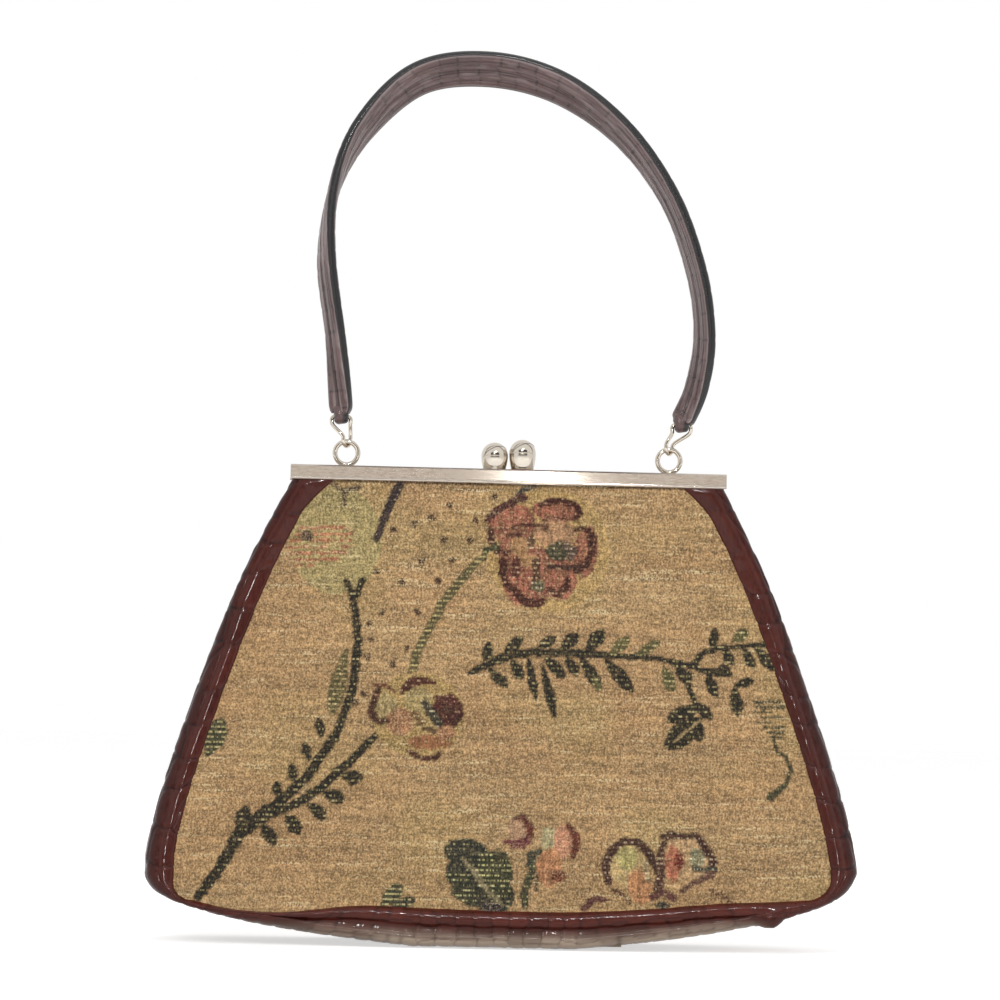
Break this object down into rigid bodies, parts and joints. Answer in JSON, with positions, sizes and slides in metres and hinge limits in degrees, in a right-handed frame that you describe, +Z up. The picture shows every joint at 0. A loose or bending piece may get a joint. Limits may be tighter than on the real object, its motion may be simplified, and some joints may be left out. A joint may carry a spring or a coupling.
{
  "type": "handbag",
  "caption": "Kiss-lock frame handbag with tapestry panels, embossed leather gussets and base, ball clasp and a leather strap carried on chain links.",
  "frame": {"origin": "centre of the object's bounding box on the ground, under the base", "axes": "+Z up to the strap, +X to the right seen from the front, the front panel faces -Y"},
  "size_m": [0.292, 0.0746, 0.3675],
  "materials": {
    "nickel": "polished nickel with fine wear",
    "leather": "glossy embossed scales",
    "strap_leather": "padded embossed scales with dark edges",
    "tapestry": "woven floral tapestry",
    "satin": "satin lining",
    "board": "stiffening board"
  },
  "bodies": {
    "bag": {"frame_back": "nickel", "hinge_rivet_left": "nickel", "hinge_rivet_right": "nickel", "clasp_stem_back": "nickel", "clasp_ball_back": "nickel", "handle_ring_left": "nickel", "handle_ring_right": "nickel", "front_panel": "tapestry", "back_panel": "tapestry", "gusset_left": "leather", "gusset_right": "leather", "base_panel": "leather", "base_board": "board", "lining": "satin"},
    "front_frame": {"frame_front": "nickel", "clasp_stem_front": "nickel", "clasp_ball_front": "nickel"},
    "left_link": {"chain_link_left": "nickel"},
    "right_link": {"chain_link_right": "nickel"},
    "strap": {"handle_strap": "strap_leather"}
  },
  "joints": [
    {"name": "frame_open", "type": "hinge", "parent": "bag", "child": "front_frame", "pos_m": [0, 0, 0.156], "axis": [1, 0, 0], "range_deg": [0, 70], "deforming": ["front_panel", "gusset_left", "gusset_right", "lining"]},
    {"name": "left_link_swing", "type": "hinge", "parent": "bag", "child": "left_link", "pos_m": [-0.067, 0.00425, 0.20625], "axis": [1, 0, 0], "range_deg": [-95, 85]},
    {"name": "right_link_swing", "type": "hinge", "parent": "bag", "child": "right_link", "pos_m": [0.067, 0.00425, 0.20625], "axis": [1, 0, 0], "range_deg": [-95, 85]},
    {"name": "strap_swing", "type": "hinge", "parent": "left_link", "child": "strap", "pos_m": [-0.0695, 0.00425, 0.2167], "axis": [1, 0, 0], "range_deg": [-68, 35]}
  ],
  "couplings": [
    {"joint": "right_link_swing", "follows": "left_link_swing", "ratio": 1}
  ]
}
